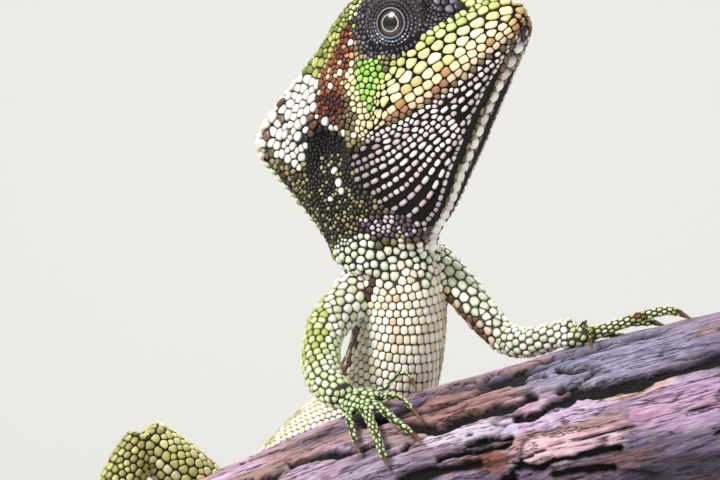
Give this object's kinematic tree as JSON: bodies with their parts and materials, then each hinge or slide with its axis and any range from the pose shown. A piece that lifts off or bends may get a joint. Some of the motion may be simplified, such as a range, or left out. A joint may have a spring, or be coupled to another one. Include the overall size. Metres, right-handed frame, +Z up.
{
  "type": "helmeted basilisk",
  "caption": "Slim casqued lizard with a serrated throat keel, raised up over a sloping length of branch that it grips, its tail hanging below, on a flat base with thin rods.",
  "frame": {"origin": "the middle of the underside of the display base, on the surface that it stands on", "axes": "+X to the right as the picture shows it, the way the snout points; +Y away from the viewer; +Z up"},
  "size_m": [0.1525, 0.084, 0.1709],
  "materials": {
    "scaly_skin": "satin",
    "throat_skin": "satin",
    "belly_skin": "satin",
    "green_skin": "satin",
    "eye": "gloss",
    "bark": "rough",
    "base_wood": "satin",
    "rod_brass": "satin"
  },
  "bodies": {
    "root": {"head": "scaly_skin", "lower_jaw": "scaly_skin", "throat_pouch": "throat_skin", "neck": "scaly_skin", "eye_right": "eye", "eye_left": "eye", "torso_front": "belly_skin", "torso_rear": "scaly_skin", "tail_1": "scaly_skin", "tail_2": "scaly_skin", "tail_3": "scaly_skin", "tail_4": "scaly_skin", "tail_5": "scaly_skin", "upper_arm_right": "scaly_skin", "forearm_right": "green_skin", "hand_right": "green_skin", "upper_arm_left": "scaly_skin", "forearm_left": "scaly_skin", "hand_left": "green_skin", "thigh_right": "scaly_skin", "shank_right": "scaly_skin", "foot_right": "scaly_skin", "thigh_left": "scaly_skin", "shank_left": "scaly_skin", "foot_left": "scaly_skin", "perch_branch": "bark", "stand_base": "base_wood", "stand_rod_1": "rod_brass", "stand_rod_2": "rod_brass"}
  },
  "joints": []
}
